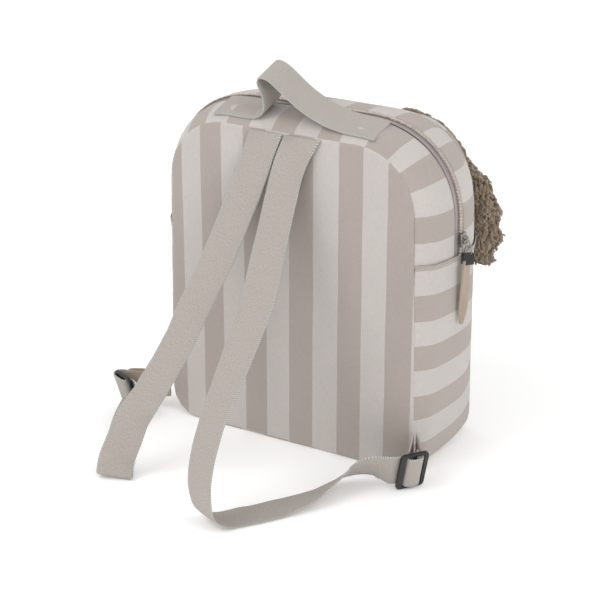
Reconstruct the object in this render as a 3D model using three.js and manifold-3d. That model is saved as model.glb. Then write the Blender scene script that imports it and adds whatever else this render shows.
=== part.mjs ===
// A child's backpack in striped cloth, standing on a table, with brown fleece ears at its top corners.
// Millimetres, +Z up. The origin is the middle of the flat base, and the straps are on the -Y side.
import * as THREE from 'three';
import { mergeVertices } from 'three/addons/utils/BufferGeometryUtils.js';
import Module from 'manifold-3d';

// The bag
const bodyHeight = 300;
const bodyDepth = 116;
const baseWidth = 259;
const topWidth = 246.5;
const baseCornerRadius = 28;
const backCornerRadius = 58;
const frontCornerRadius = 72;
const frontSpread = 2.5;
const sideSwell = 20;
const frontCrown = 6;
const clothWall = 2;
const seamRoll = 1.8;

// The fit between pieces that touch
const seat = 0.3;

// The hem where the upper side bands end
const hemHeight = 200;
const hemDepth = 10;
const hemFold = 0.9;

// The zip
const zipCentre = -11;
const zipOpening = 15;
const tapeWall = 1.2;
const tapeSink = 0.9;
const coilWidth = 5;
const coilHeight = 1.6;
const runnerHeight = 214;
const runnerLength = 13;
const runnerWidth = 9;
const runnerPlate = 2.6;
const bridgeLength = 8;
const bridgeRise = 3.6;
const bridgeWall = 1.2;
const bridgeWidth = 3;

// The puller
const ringRadius = 4.3;
const ringWire = 0.7;
const linkRadius = 3.4;
const linkStretch = 1.4;
const linkWire = 0.6;
const clampWidth = 10;
const clampHeight = 10;
const clampThickness = 5;
const tabWidth = 12;
const tabLength = 60;
const tabPly = 1.1;
const tabOpening = 2.3;
const tabGrip = 4.5;
const pullTurn = 45;
const pullSwing = 25;

// The webbing
const webbingWidth = 32;
const webbingPly = 1.6;
const strapReach = 172;
const strapGather = 0.72;

// The handle
const handleCentre = -36;
const handleSpan = 161;
const handleStart = -80;
const handleRise = 38;

// The strap adjusters and the cloth wings that hold the strap ends
const adjusterLength = 39;
const adjusterWidth = 27;
const adjusterPlate = 3.2;
const adjusterBar = 3.8;
const adjusterNearBar = 5.4;
const adjusterEnd = 2.6;
const adjusterRounding = 4;
const adjusterLean = 16;
const wingPly = 1.4;

// The ears
const earLength = 134;
const earWidth = 82;
const earThickness = 15;
const earRootX = 74;
const earRootZ = 288;
const earLean = 43;
const earStand = 7;
const lockLength = 11;
const lockGirth = 7;
const lockRows = 5;
const locksAround = 7;

// How far the side bands swell out, from the base up to the top
const swellRows = [
  { height: 0, swell: 0.1 },
  { height: 0.05, swell: 0.32 },
  { height: 0.1, swell: 0.5 },
  { height: 0.18, swell: 0.68 },
  { height: 0.26, swell: 0.82 },
  { height: 0.34, swell: 0.9 },
  { height: 0.47, swell: 0.97 },
  { height: 0.6, swell: 1 },
  { height: 0.8, swell: 1 },
  { height: 0.93, swell: 0.88 },
  { height: 1, swell: 0.725 },
];

// The arch of the side bands, from the back seam to the front one: on the right and over the top,
// on the left, where it starts flatter, and the share of the base corners' radius
const archRows = [
  { depth: 0, swell: 0, left: 0, corner: 1 },
  { depth: 0.07, swell: 0.52, left: 0.2, corner: 0.6 },
  { depth: 0.12, swell: 0.66, left: 0.36, corner: 0.42 },
  { depth: 0.215, swell: 0.8, left: 0.62, corner: 0.3 },
  { depth: 0.39, swell: 0.95, left: 0.92, corner: 0.2 },
  { depth: 0.5, swell: 1, left: 1, corner: 0.2 },
  { depth: 0.655, swell: 0.9, left: 0.9, corner: 0.2 },
  { depth: 0.76, swell: 0.68, left: 0.68, corner: 0.2 },
  { depth: 0.86, swell: 0.43, left: 0.43, corner: 0.22 },
  { depth: 1, swell: 0, left: 0, corner: 0.25 },
];

// The handle's line: a share of its span from its left end, and a share of its rise above the cloth
const handleRows = [
  { along: 0, rise: 0 },
  { along: 0.107, rise: 0 },
  { along: 0.2, rise: 0 },
  { along: 0.262, rise: 0.02 },
  { along: 0.305, rise: 0.12 },
  { along: 0.325, rise: 0.3 },
  { along: 0.318, rise: 0.52 },
  { along: 0.296, rise: 0.72 },
  { along: 0.28, rise: 0.86 },
  { along: 0.286, rise: 0.97 },
  { along: 0.31, rise: 1 },
  { along: 0.352, rise: 0.955 },
  { along: 0.405, rise: 0.81 },
  { along: 0.47, rise: 0.6 },
  { along: 0.555, rise: 0.37 },
  { along: 0.643, rise: 0.2 },
  { along: 0.73, rise: 0.08 },
  { along: 0.82, rise: 0.02 },
  { along: 0.9, rise: 0 },
  { along: 1, rise: 0 },
];

// The straps' lines, from the top seam down to the table and on towards the adjusters.
// across is a share of half the base width, out a share of the reach, up a share of the height;
// turn is where the right edge points, in degrees in plan, and tip how far that edge is raised.
const strapRows = {
  left: [
    { across: -0.165, out: 0, up: 0.995, turn: 0, tip: 0 },
    { across: -0.205, out: 0.014, up: 0.939, turn: -3, tip: -8 },
    { across: -0.234, out: 0.034, up: 0.885, turn: -5, tip: -10 },
    { across: -0.285, out: 0.097, up: 0.793, turn: 0, tip: -11 },
    { across: -0.347, out: 0.211, up: 0.662, turn: -1, tip: -12 },
    { across: -0.389, out: 0.278, up: 0.59, turn: -4, tip: -11 },
    { across: -0.452, out: 0.381, up: 0.488, turn: -4, tip: -15 },
    { across: -0.483, out: 0.452, up: 0.42, turn: -8, tip: -15 },
    { across: -0.551, out: 0.53, up: 0.334, turn: -10, tip: -15 },
    { across: -0.647, out: 0.61, up: 0.237, turn: -6, tip: -16 },
    { across: -0.724, out: 0.657, up: 0.171, turn: 3, tip: -19 },
    { across: -0.745, out: 0.712, up: 0.118, turn: 14, tip: -21 },
    { across: -0.766, out: 0.775, up: 0.056, turn: 23, tip: -21 },
    { across: -0.754, out: 0.802, up: 0.037, turn: 25, tip: -20 },
    { across: -0.75, out: 0.816, up: 0.025, turn: 25, tip: -17 },
    { across: -0.757, out: 0.809, up: 0.012, turn: 25, tip: -10 },
    { across: -0.785, out: 0.77, up: 0, turn: 25, tip: -4 },
    { across: -0.85, out: 0.7, up: 0, turn: 25, tip: 0 },
    { across: -0.931, out: 0.593, up: 0, turn: 24, tip: 0 },
    { across: -1.039, out: 0.425, up: 0, turn: 26, tip: 0 },
    { across: -1.125, out: 0.275, up: 0, turn: 32, tip: -25 },
    { across: -1.165, out: 0.17, up: 0, turn: 45, tip: -60 },
  ],
  right: [
    { across: 0.122, out: 0, up: 0.995, turn: 0, tip: 0 },
    { across: 0.075, out: 0.014, up: 0.954, turn: 0, tip: 0 },
    { across: 0.036, out: 0.04, up: 0.897, turn: 0, tip: 0 },
    { across: 0.022, out: 0.082, up: 0.829, turn: 0, tip: 0 },
    { across: 0.031, out: 0.22, up: 0.687, turn: 2, tip: 0 },
    { across: 0.075, out: 0.395, up: 0.56, turn: 4, tip: 0 },
    { across: 0.076, out: 0.528, up: 0.472, turn: -2, tip: -2 },
    { across: 0.076, out: 0.703, up: 0.363, turn: -18, tip: -4 },
    { across: 0.079, out: 0.831, up: 0.286, turn: -24, tip: -4 },
    { across: 0.092, out: 0.947, up: 0.189, turn: -22, tip: -2 },
    { across: 0.118, out: 1, up: 0.11, turn: -22, tip: 0 },
    { across: 0.15, out: 0.985, up: 0.04, turn: -25, tip: 0 },
    { across: 0.235, out: 0.865, up: 0, turn: -28, tip: 0 },
    { across: 0.335, out: 0.768, up: 0, turn: -28, tip: 0 },
    { across: 0.432, out: 0.664, up: 0, turn: -27, tip: 2 },
    { across: 0.529, out: 0.555, up: 0, turn: -26, tip: 12 },
    { across: 0.603, out: 0.445, up: 0.026, turn: -26, tip: 28 },
    { across: 0.652, out: 0.345, up: 0.04, turn: -27, tip: 38 },
    { across: 0.705, out: 0.28, up: 0.054, turn: -29, tip: 45 },
    { across: 0.772, out: 0.249, up: 0.066, turn: -31, tip: 48 },
    { across: 0.845, out: 0.232, up: 0.075, turn: -33, tip: 53 },
    { across: 0.912, out: 0.215, up: 0.073, turn: -35, tip: 60 },
  ],
};

// The ears, from the seam down to the tip: lean is how far the middle has moved out,
// and stand how far the ear hangs clear of the front panel
const earRows = [
  { down: 0, lean: 0, width: 0.5, thickness: 0.5, stand: 0.15 },
  { down: 0.1, lean: 0.15, width: 0.56, thickness: 0.75, stand: 0.9 },
  { down: 0.21, lean: 0.44, width: 0.73, thickness: 1, stand: 1 },
  { down: 0.38, lean: 0.76, width: 0.92, thickness: 1, stand: 1 },
  { down: 0.59, lean: 0.88, width: 0.98, thickness: 1, stand: 1 },
  { down: 0.78, lean: 0.94, width: 0.97, thickness: 1, stand: 1 },
  { down: 0.89, lean: 0.96, width: 0.83, thickness: 0.85, stand: 1 },
  { down: 0.97, lean: 1, width: 0.5, thickness: 0.55, stand: 1 },
];

const wasm = await Module();
wasm.setup();

const { clamp, lerp, degToRad } = THREE.MathUtils;
const at = (x, y, z) => new THREE.Vector3(x, y, z);
const look = (color, roughness, metalness = 0) => (
  new THREE.MeshStandardMaterial({ color, roughness, metalness, flatShading: true })
);
const looks = {
  panel: look(0xb9ada2, 0.9),
  band: look(0xcdc5bf, 0.9),
  webbing: look(0xb9b0a7, 0.92),
  tape: look(0xa89c9d, 0.85),
  coil: look(0xc9bfb8, 0.5),
  metal: look(0x8f8b84, 0.35, 0.9),
  black: look(0x1c1c1e, 0.45),
  leather: look(0xb7a48f, 0.8),
  fleece: look(0x7a6a54, 1),
};

const bag = new THREE.Group();
bag.name = 'backpack';

function add(name, geometry, material) {
  const mesh = new THREE.Mesh(geometry, material);
  mesh.name = name;
  bag.add(mesh);
  return mesh;
}

// A smooth curve through one column of a table, read at a place along another column
function read(rows, key, place, value) {
  const last = rows.length - 1;
  let i = 0;
  while (i < last - 1 && place > rows[i + 1][key]) i += 1;
  const slope = (j) => {
    const before = rows[Math.max(j - 1, 0)];
    const after = rows[Math.min(j + 1, last)];
    return (after[value] - before[value]) / (after[key] - before[key]);
  };
  const [from, to] = [rows[i], rows[i + 1]];
  const span = to[key] - from[key];
  const f = clamp((place - from[key]) / span, 0, 1);
  const ease = f * f * (3 - 2 * f);
  const bend = f * (1 - f) * span * ((1 - f) * slope(i) - f * slope(i + 1));
  return lerp(from[value], to[value], ease) + bend;
}

function meshOf(points, faces) {
  const geometry = new THREE.BufferGeometry().setFromPoints(points);
  geometry.setIndex(faces);
  let volume = 0;
  for (let i = 0; i < faces.length; i += 3) {
    const [a, b, c] = [points[faces[i]], points[faces[i + 1]], points[faces[i + 2]]];
    volume += a.dot(b.clone().cross(c));
  }
  if (volume < 0) geometry.setIndex(faces.toReversed());
  return geometry;
}

// A closed body through a row of rings with as many points each, with a pointed cap at each end
function loft(rings, firstTip, lastTip) {
  const count = rings[0].length;
  const points = [...rings.flat(), firstTip, lastTip];
  const faces = [];
  const [first, last] = [points.length - 2, points.length - 1];
  for (let k = 0; k < count; k += 1) {
    const next = (k + 1) % count;
    for (let i = 0; i < rings.length - 1; i += 1) {
      const [a, b] = [i * count + k, i * count + next];
      faces.push(a, b, b + count, a, b + count, a + count);
    }
    const top = (rings.length - 1) * count;
    faces.push(first, next, k, last, top + k, top + next);
  }
  return meshOf(points, faces);
}

// A sheet of cloth through rows of points, thickened by so much above and below its face
function sheet(rows, above, below) {
  const [long, wide] = [rows.length, rows[0].length];
  const normal = (i, k) => {
    const along = rows[Math.min(i + 1, long - 1)][k].clone().sub(rows[Math.max(i - 1, 0)][k]);
    const across = rows[i][Math.min(k + 1, wide - 1)].clone().sub(rows[i][Math.max(k - 1, 0)]);
    return along.cross(across).normalize();
  };
  const face = (thickness) => rows.flatMap((row, i) => (
    row.map((p, k) => p.clone().addScaledVector(normal(i, k), thickness))
  ));
  const points = [...face(above), ...face(-below)];
  const under = long * wide;
  const faces = [];
  for (let i = 0; i < long - 1; i += 1) {
    for (let k = 0; k < wide - 1; k += 1) {
      const [a, b, c, d] = [i * wide + k, (i + 1) * wide + k, (i + 1) * wide + k + 1, i * wide + k + 1];
      faces.push(a, b, c, a, c, d, a + under, c + under, b + under, a + under, d + under, c + under);
    }
  }
  const rim = [];
  for (let i = 0; i < long - 1; i += 1) rim.push(i * wide);
  for (let k = 0; k < wide - 1; k += 1) rim.push((long - 1) * wide + k);
  for (let i = long - 1; i > 0; i -= 1) rim.push(i * wide + wide - 1);
  for (let k = wide - 1; k > 0; k -= 1) rim.push(k);
  rim.forEach((a, i) => {
    const b = rim[(i + 1) % rim.length];
    faces.push(b, a, a + under, b, a + under, b + under);
  });
  return meshOf(points, faces);
}

// A geometry as a solid that can be joined and cut, and back
function solid(geometry) {
  const bare = geometry.clone();
  bare.deleteAttribute('normal');
  bare.deleteAttribute('uv');
  const merged = mergeVertices(bare, 1e-4);
  return new wasm.Manifold(new wasm.Mesh({
    numProp: 3,
    vertProperties: new Float32Array(merged.attributes.position.array),
    triVerts: new Uint32Array(merged.index.array),
  }));
}

function geometryOf(made) {
  const { vertProperties, triVerts } = made.getMesh();
  const geometry = new THREE.BufferGeometry();
  geometry.setAttribute('position', new THREE.BufferAttribute(vertProperties, 3));
  geometry.setIndex(new THREE.BufferAttribute(triVerts, 1));
  return geometry;
}

// The bag's outline, with its sides leaning in to the top
const sideLean = Math.atan2((baseWidth - topWidth) / 2, bodyHeight);

// A place on the +X half of the outline, with the direction that points out of the bag.
// depth is the share of the way from the back seam to the front one.
function outline(stretch, f, depth) {
  const half = baseWidth / 2 + frontSpread * depth;
  const cornerAt = (level, radius) => half - level * Math.tan(sideLean) - radius / Math.cos(sideLean);
  const baseRadius = baseCornerRadius * read(archRows, 'depth', depth, 'corner');
  const topRadius = lerp(backCornerRadius, frontCornerRadius, depth);
  const baseX = cornerAt(baseRadius, baseRadius);
  const topX = cornerAt(bodyHeight - topRadius, topRadius);
  const arc = (x, z, r, angle) => {
    const out = new THREE.Vector2(Math.cos(angle), Math.sin(angle));
    return { x: x + r * out.x, z: z + r * out.y, out };
  };
  if (stretch === 'base') return { x: baseX * f, z: 0, out: new THREE.Vector2(0, -1) };
  if (stretch === 'baseCorner') return arc(baseX, baseRadius, baseRadius, lerp(-Math.PI / 2, sideLean, f));
  if (stretch === 'topCorner') {
    return arc(topX, bodyHeight - topRadius, topRadius, lerp(sideLean, Math.PI / 2, f));
  }
  if (stretch === 'top') return { x: topX * (1 - f), z: bodyHeight, out: new THREE.Vector2(0, 1) };
  const low = baseRadius * (1 + Math.sin(sideLean));
  const high = bodyHeight - topRadius * (1 - Math.sin(sideLean));
  const z = stretch === 'lowSide' ? lerp(low, hemHeight, f) : lerp(hemHeight, high, f);
  const x = half - z * Math.tan(sideLean);
  return { x, z, out: new THREE.Vector2(Math.cos(sideLean), Math.sin(sideLean)) };
}

const steps = (stretch, from, to, count) => (
  Array.from({ length: count }, (_, i) => ({ stretch, f: lerp(from, to, i / count) }))
);
const mirrored = (half) => [
  ...half.map((place) => ({ ...place, side: 1 })),
  ...half.slice(0, -1).reverse().map((place) => ({ ...place, side: -1 })),
];

const bandStart = -bodyDepth / 2 + clothWall + seat;
const bandDepth = -2 * bandStart;
const depthOf = (y) => (y - bandStart) / bandDepth;
const placeOf = (depth) => bandStart + bandDepth * depth;

// A point on the cloth of the side bands
function bandPoint({ stretch, f, side }, depth, lift = 0) {
  const { x, z, out } = outline(stretch, f, depth);
  const swell = sideSwell * read(swellRows, 'height', z / bodyHeight, 'swell');
  const leftward = side < 0 ? Math.max(out.x, 0) : 0;
  const arch = lerp(read(archRows, 'depth', depth, 'swell'), read(archRows, 'depth', depth, 'left'), leftward);
  const rise = swell * arch + lift;
  return at(side * (x + out.x * rise), placeOf(depth), z + Math.max(out.y, 0) * rise);
}

const depthsBetween = (from, to, count) => (
  Array.from({ length: count + 1 }, (_, k) => lerp(from, to, k / count))
);

// The back and front panels, with rolled edges at the seams
function panel(depth, facing, crown) {
  const half = [
    ...steps('base', 0, 1, 2),
    ...steps('baseCorner', 0, 1, 4),
    ...steps('lowSide', 0, 1, 3),
    ...steps('highSide', 0, 1, 1),
    ...steps('topCorner', 0, 1, 7),
    ...steps('top', 0, 1, 2),
    { stretch: 'top', f: 1 },
  ];
  const loop = mirrored(half.reverse()).slice(0, -1);
  const middle = at(0, 0, bodyHeight / 2);
  const seamY = facing * (bodyDepth / 2 - clothWall);
  const ring = (inward, y) => loop.map(({ stretch, f, side }) => {
    const { x, z } = outline(stretch, f, depth);
    return at(side * x, 0, z).lerp(middle, inward).setY(y);
  });
  const rollRows = [
    { inward: 0, rise: 0.1 },
    { inward: 0.006, rise: 0.6 },
    { inward: 0.018, rise: 0.9 },
    { inward: 0.04, rise: 1 },
  ];
  const crownRows = [
    { inward: 0.14, rise: 0.28 },
    { inward: 0.32, rise: 0.63 },
    { inward: 0.6, rise: 0.92 },
  ].filter(() => crown > 0);
  const face = (thickness) => [
    ...rollRows.map((row) => ring(row.inward, seamY + facing * (thickness - seamRoll + seamRoll * row.rise))),
    ...crownRows.map((row) => ring(row.inward, seamY + facing * (thickness + crown * row.rise))),
  ];
  const insideRoll = [
    ring(0.25, seamY + facing * crown * 0.5),
    ring(0.03, seamY),
  ];
  const rings = [...insideRoll, ...face(clothWall)];
  const inner = at(0, seamY + facing * crown, bodyHeight / 2);
  const outer = at(0, seamY + facing * (clothWall + crown), bodyHeight / 2);
  return loft(rings, inner, outer);
}

// The lower side band runs from one hem down round the base to the other
function lowerBand() {
  const half = [
    { stretch: 'lowSide', f: 1, fold: 1 },
    { stretch: 'lowSide', f: 1 - hemDepth / hemHeight, fold: 1 },
    { stretch: 'lowSide', f: 1 - (hemDepth + 1) / hemHeight, fold: 0 },
    ...steps('lowSide', 0.84, 0, 5),
    ...steps('baseCorner', 1, 0, 4),
    ...steps('base', 1, 0, 1),
    { stretch: 'base', f: 0 },
  ];
  const depths = archRows.map((row) => row.depth);
  const rows = mirrored(half).map((place) => (
    depths.map((depth) => bandPoint(place, depth, hemFold * (place.fold ?? 0)))
  ));
  return sheet(rows, 0, clothWall);
}

// The places along the upper bands, from the left hem over the top to the right one
const hemGap = seat / (bodyHeight - hemHeight - backCornerRadius);
const upperPlaces = mirrored([
  ...steps('highSide', hemGap, 1, 2),
  ...steps('topCorner', 0, 1, 7),
  ...steps('top', 0, 1, 2),
  { stretch: 'top', f: 1 },
]).map((place) => ({ ...place, side: -place.side }));

function upperBand(depths, lift, thickness) {
  const rows = upperPlaces.map((place) => depths.map((depth) => bandPoint(place, depth, lift)));
  return sheet(rows, 0, thickness);
}

const zipFrom = depthOf(zipCentre - zipOpening / 2);
const zipTo = depthOf(zipCentre + zipOpening / 2);
const seatShare = seat / bandDepth;
const backDepths = depthsBetween(0, zipFrom, 5);

// The place on the right side at a height above the hem
function sidePlace(height) {
  const radius = lerp(backCornerRadius, frontCornerRadius, depthOf(zipCentre));
  const high = bodyHeight - radius * (1 - Math.sin(sideLean));
  return { stretch: 'highSide', f: (height - hemHeight) / (high - hemHeight), side: 1 };
}

const coilTop = coilHeight + seat - tapeSink;
const runnerSeat = bandPoint(sidePlace(runnerHeight), depthOf(zipCentre), coilTop + 2 * seat);
const bridgeHole = bridgeRise - bridgeWall;

function addZip() {
  const tape = upperBand([zipFrom + 2 * seatShare, zipTo - 2 * seatShare], -tapeSink, tapeWall);
  add('zip_tape', tape, looks.tape);
  const coilHalf = coilWidth / 2 / bandDepth;
  const middle = depthOf(zipCentre);
  const coil = upperBand([middle - coilHalf, middle + coilHalf], coilTop, coilHeight);
  add('zip_coil', coil, looks.coil);
}

// The zip runner, with the bridge that its ring hangs from; its own X points out of the bag
function addRunner() {
  const outlineShape = new THREE.Shape();
  const [w, l] = [runnerWidth / 2, runnerLength / 2];
  outlineShape.moveTo(-w * 0.62, -l);
  outlineShape.lineTo(w * 0.62, -l);
  outlineShape.quadraticCurveTo(w, l * 0.1, w, l * 0.6);
  outlineShape.quadraticCurveTo(w, l, w * 0.6, l);
  outlineShape.lineTo(-w * 0.6, l);
  outlineShape.quadraticCurveTo(-w, l, -w, l * 0.6);
  outlineShape.quadraticCurveTo(-w, l * 0.1, -w * 0.62, -l);
  const plate = new THREE.ExtrudeGeometry(outlineShape, {
    depth: runnerPlate, bevelEnabled: false, curveSegments: 4,
  });
  const arch = (length, rise) => {
    const shape = new THREE.Shape();
    shape.moveTo(-length / 2, -runnerPlate / 2);
    shape.lineTo(length / 2, -runnerPlate / 2);
    shape.lineTo(length / 2, rise * 0.4);
    shape.quadraticCurveTo(length / 2, rise, length * 0.2, rise);
    shape.lineTo(-length * 0.2, rise);
    shape.quadraticCurveTo(-length / 2, rise, -length / 2, rise * 0.4);
    shape.closePath();
    return shape;
  };
  const block = (shape, depth) => (
    new THREE.ExtrudeGeometry(shape, { depth, bevelEnabled: false, curveSegments: 4 })
      .translate(0, 0, -depth / 2)
      .rotateX(Math.PI / 2)
      .rotateZ(Math.PI / 2)
  );
  const bridge = solid(block(arch(bridgeLength, bridgeRise), bridgeWidth).translate(0, 0, runnerPlate));
  const hole = solid(block(arch(bridgeLength - 2 * bridgeWall, bridgeHole), 2 * bridgeWidth)
    .translate(0, 0, runnerPlate));
  const made = bridge.subtract(hole).add(solid(plate));
  const mesh = add('zip_runner', geometryOf(made), looks.metal);
  mesh.geometry.rotateX(Math.PI / 2).rotateZ(Math.PI / 2);
  mesh.position.copy(runnerSeat);
}

// The ring, link, clamp and cloth tab that hang from the runner
function addPuller() {
  const swing = new THREE.Group();
  swing.position.set(runnerSeat.x + runnerPlate + bridgeHole / 2, zipCentre, runnerSeat.z + bridgeLength / 8);
  swing.rotation.y = -degToRad(pullSwing);
  bag.add(swing);
  const ring = new THREE.TorusGeometry(ringRadius, ringWire, 6, 16).rotateY(Math.PI / 2);
  const ringMesh = add('pull_ring', ring, looks.metal);
  ringMesh.position.z = -ringRadius;
  swing.add(ringMesh);

  const linkDrop = linkRadius * linkStretch;
  const chain = new THREE.Group();
  chain.position.z = -2 * ringRadius + ringWire + linkWire * linkStretch + 1.5 * seat;
  chain.rotation.y = degToRad(pullSwing);
  swing.add(chain);
  const hung = new THREE.Group();
  hung.position.z = -linkDrop;
  hung.rotation.z = degToRad(pullTurn);
  chain.add(hung);
  const hang = (name, geometry, material) => {
    const mesh = add(name, geometry, material);
    hung.add(mesh);
  };

  const linkShape = (wire) => (
    new THREE.TorusGeometry(linkRadius, wire, 6, 16)
      .rotateX(Math.PI / 2)
      .scale(1, 1, linkStretch)
      .rotateZ(-degToRad(pullTurn))
  );
  hang('pull_link', linkShape(linkWire), looks.metal);

  const clampTop = -linkDrop * 0.45;
  const clampLow = clampTop - clampHeight;
  const block = new THREE.BoxGeometry(clampWidth, clampThickness, clampHeight)
    .translate(0, 0, clampTop - clampHeight / 2);
  const plies = 2 * tabPly + 3 * seat;
  const mouth = new THREE.BoxGeometry(tabWidth * 2, plies, tabGrip * 2).translate(0, 0, clampLow);
  const cavity = solid(linkShape(linkWire + seat));
  const made = solid(block).subtract(cavity).subtract(solid(mouth));
  hang('pull_clamp', geometryOf(made), looks.black);

  const tabRows = [
    { down: 0, open: 0 },
    { down: tabGrip / tabLength, open: 0.02 },
    { down: 0.2, open: 0.35 },
    { down: 0.4, open: 0.85 },
    { down: 0.6, open: 1 },
    { down: 0.8, open: 0.75 },
    { down: 0.94, open: 0.4 },
  ];
  const tabTop = clampLow + tabGrip - seat;
  const ply = (row, side) => {
    const y = side * (tabPly / 2 + seat / 2 + tabOpening * row.open);
    return [at(-tabWidth / 2, y, tabTop - tabLength * row.down), at(tabWidth / 2, y, tabTop - tabLength * row.down)];
  };
  const fold = [at(-tabWidth / 2, 0, tabTop - tabLength), at(tabWidth / 2, 0, tabTop - tabLength)];
  const rows = [
    ...tabRows.map((row) => ply(row, 1)),
    fold,
    ...tabRows.toReversed().map((row) => ply(row, -1)),
  ];
  hang('pull_tab', sheet(rows, tabPly / 2, tabPly / 2), looks.leather);
}

// The cloth's height over the top of the bag, at a place across it
function topHeight(x, y) {
  const depth = depthOf(y);
  let [low, high] = [0, 2];
  const place = (s) => (s < 1 ? { stretch: 'top', f: 1 - s, side: 1 } : { stretch: 'topCorner', f: 2 - s, side: 1 });
  for (let i = 0; i < 30; i += 1) {
    const middle = (low + high) / 2;
    if (bandPoint(place(middle), depth).x < Math.abs(x)) low = middle;
    else high = middle;
  }
  return bandPoint(place(low), depth).z;
}

// The handle follows the arched cloth where it is sewn down and rises off it between
function handle() {
  const line = new THREE.CatmullRomCurve3(handleRows.map(({ along, rise }) => (
    at(handleStart + handleSpan * along, 0, rise)
  )), false, 'centripetal');
  const count = 2 * (handleRows.length - 1);
  const [near, far] = [handleCentre - webbingWidth / 2, handleCentre + webbingWidth / 2];
  const between = backDepths.map(placeOf).filter((y) => y > near && y < far);
  const edges = [near, ...between, far];
  const rows = Array.from({ length: count + 1 }, (_, i) => {
    const { x, z } = line.getPoint(i / count);
    return edges.map((y) => at(x, y, topHeight(x, y) + 2 * seat + webbingPly / 2 + handleRise * Math.max(z, 0)));
  });
  return sheet(rows, webbingPly / 2, webbingPly / 2);
}

// Where each adjuster stands: its middle, the way the strap runs through it, and the way it faces
function adjusterPose(side) {
  const row = side > 0
    ? { across: 1.081, out: 0.139, heading: 54 }
    : { across: -1.32, out: 0.09, heading: 155 };
  const run = at(Math.cos(degToRad(row.heading)), Math.sin(degToRad(row.heading)), 0);
  const level = at(side * run.y, -side * run.x, 0);
  const lean = degToRad(adjusterLean);
  const up = at(0, 0, Math.cos(lean)).addScaledVector(level, Math.sin(lean));
  const out = at(0, 0, -Math.sin(lean)).addScaledVector(level, Math.cos(lean));
  const height = (adjusterLength * Math.cos(lean) + adjusterPlate * Math.sin(lean)) / 2 + seat;
  const centre = at(row.across * baseWidth / 2, -bodyDepth / 2 - row.out * strapReach, height);
  return { centre, run, up, out };
}

function addAdjuster(name, side) {
  const { centre, run, up, out } = adjusterPose(side);
  const [w, l, r] = [adjusterWidth / 2, adjusterLength / 2, adjusterRounding];
  const shape = new THREE.Shape();
  shape.moveTo(r - w, -l);
  shape.lineTo(w - r, -l).quadraticCurveTo(w, -l, w, r - l);
  shape.lineTo(w, l - r).quadraticCurveTo(w, l, w - r, l);
  shape.lineTo(r - w, l).quadraticCurveTo(-w, l, -w, l - r);
  shape.lineTo(-w, r - l).quadraticCurveTo(-w, -l, r - w, -l);
  const plate = new THREE.ExtrudeGeometry(shape, {
    depth: adjusterPlate, bevelEnabled: false, curveSegments: 3,
  }).translate(0, 0, -adjusterPlate / 2);
  const slot = (from, to) => solid(
    new THREE.BoxGeometry(to - from, 2 * (l - adjusterEnd), 2 * adjusterPlate)
      .translate(side * (from + to) / 2, 0, 0),
  );
  const made = solid(plate)
    .subtract(slot(adjusterNearBar - w, -adjusterBar / 2))
    .subtract(slot(adjusterBar / 2, w - adjusterBar));
  const mesh = add(name, geometryOf(made), looks.black);
  mesh.position.copy(centre);
  mesh.quaternion.setFromRotationMatrix(
    new THREE.Matrix4().makeBasis(run.clone().multiplyScalar(side), up, out),
  );
}

// The wings: how high and how tall each is where it is sewn in, how far past the adjuster's middle
// and behind its plate it ends, the share of that way that its cloth covers, and how far its near ply splays
const wings = {
  left: { level: 31, height: 26, past: 0.33, behind: 6, reach: 1.04, splay: 0 },
  right: { level: 33, height: 28, past: 0.27, behind: 3, reach: 0.8, splay: 5 },
};
const sideOf = (name) => (name === 'left' ? -1 : 1);

function wingLine(name) {
  const side = sideOf(name);
  const { level, past, behind } = wings[name];
  const { centre, run, up, out } = adjusterPose(side);
  const seam = outline('lowSide', 0, 0);
  const root = at(side * (seam.x + wingPly + seat), -bodyDepth / 2 - 2 * seat, level);
  const end = centre.clone()
    .addScaledVector(run, adjusterWidth * past)
    .addScaledVector(out, -adjusterPlate / 2 - webbingPly - behind);
  return { root, end, up };
}

// How each strap passes through its adjuster: shares of half its width along its run,
// and of the webbing's stand-off from its middle, outwards. The left one also goes round the far bar.
const enterRows = [
  { along: -1.3, out: -1.5 },
  { along: -0.85, out: -1.15 },
  { along: -0.6, out: -0.97 },
  { along: -0.51, out: -0.45 },
  { along: -0.5, out: 0.3 },
  { along: -0.38, out: 0.95 },
];
const threadRows = {
  left: [
    ...enterRows,
    { along: 0, out: 1.2 },
    { along: 0.9, out: 1.08 },
    { along: 1.18, out: 0.5 },
    { along: 1.22, out: -0.3 },
    { along: 1.17, out: -1.2 },
    { along: 0.99, out: -2.05 },
  ],
  right: [
    ...enterRows,
    { along: -0.05, out: 1.3 },
    { along: 0.35, out: 1.25 },
    { along: 0.58, out: 0.75 },
    { along: 0.61, out: -0.05 },
    { along: 0.64, out: -0.95 },
  ],
};

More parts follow.
